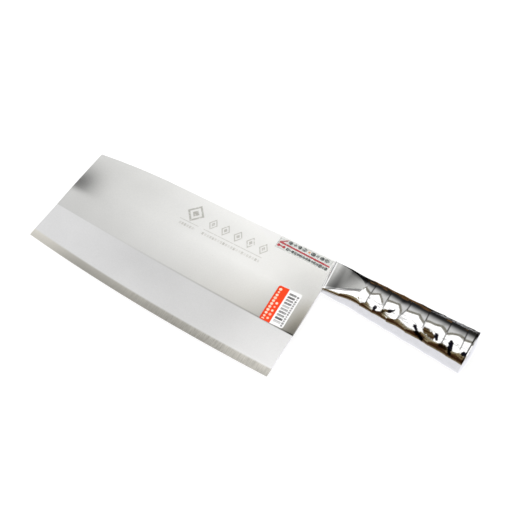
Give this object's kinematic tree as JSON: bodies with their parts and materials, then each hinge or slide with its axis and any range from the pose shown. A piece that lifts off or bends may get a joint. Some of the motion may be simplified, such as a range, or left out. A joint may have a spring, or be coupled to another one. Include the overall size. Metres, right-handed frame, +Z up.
{
  "type": "chinese cleaver",
  "caption": "Broad kitchen cleaver with a thin ground blade and a hollow, hammered steel handle, lying on its side.",
  "frame": {"origin": "under the middle of the knife's bounding box, on the surface it lies on", "axes": "+X from the tip of the blade to the butt of the handle, +Y towards the spine, +Z up, off the table"},
  "size_m": [0.329, 0.1033, 0.0281],
  "materials": {
    "blade_steel": "finely ground, satin",
    "handle_steel": "polished, hammered",
    "sticker_paper": "coated paper, orange-red and white",
    "label_film": "clear film"
  },
  "bodies": {
    "root": {"blade": "blade_steel", "handle_upper_shell": "handle_steel", "handle_lower_shell": "handle_steel", "end_cap": "handle_steel", "neck_weld": "blade_steel", "price_sticker": "sticker_paper", "clear_label": "label_film"}
  },
  "joints": []
}
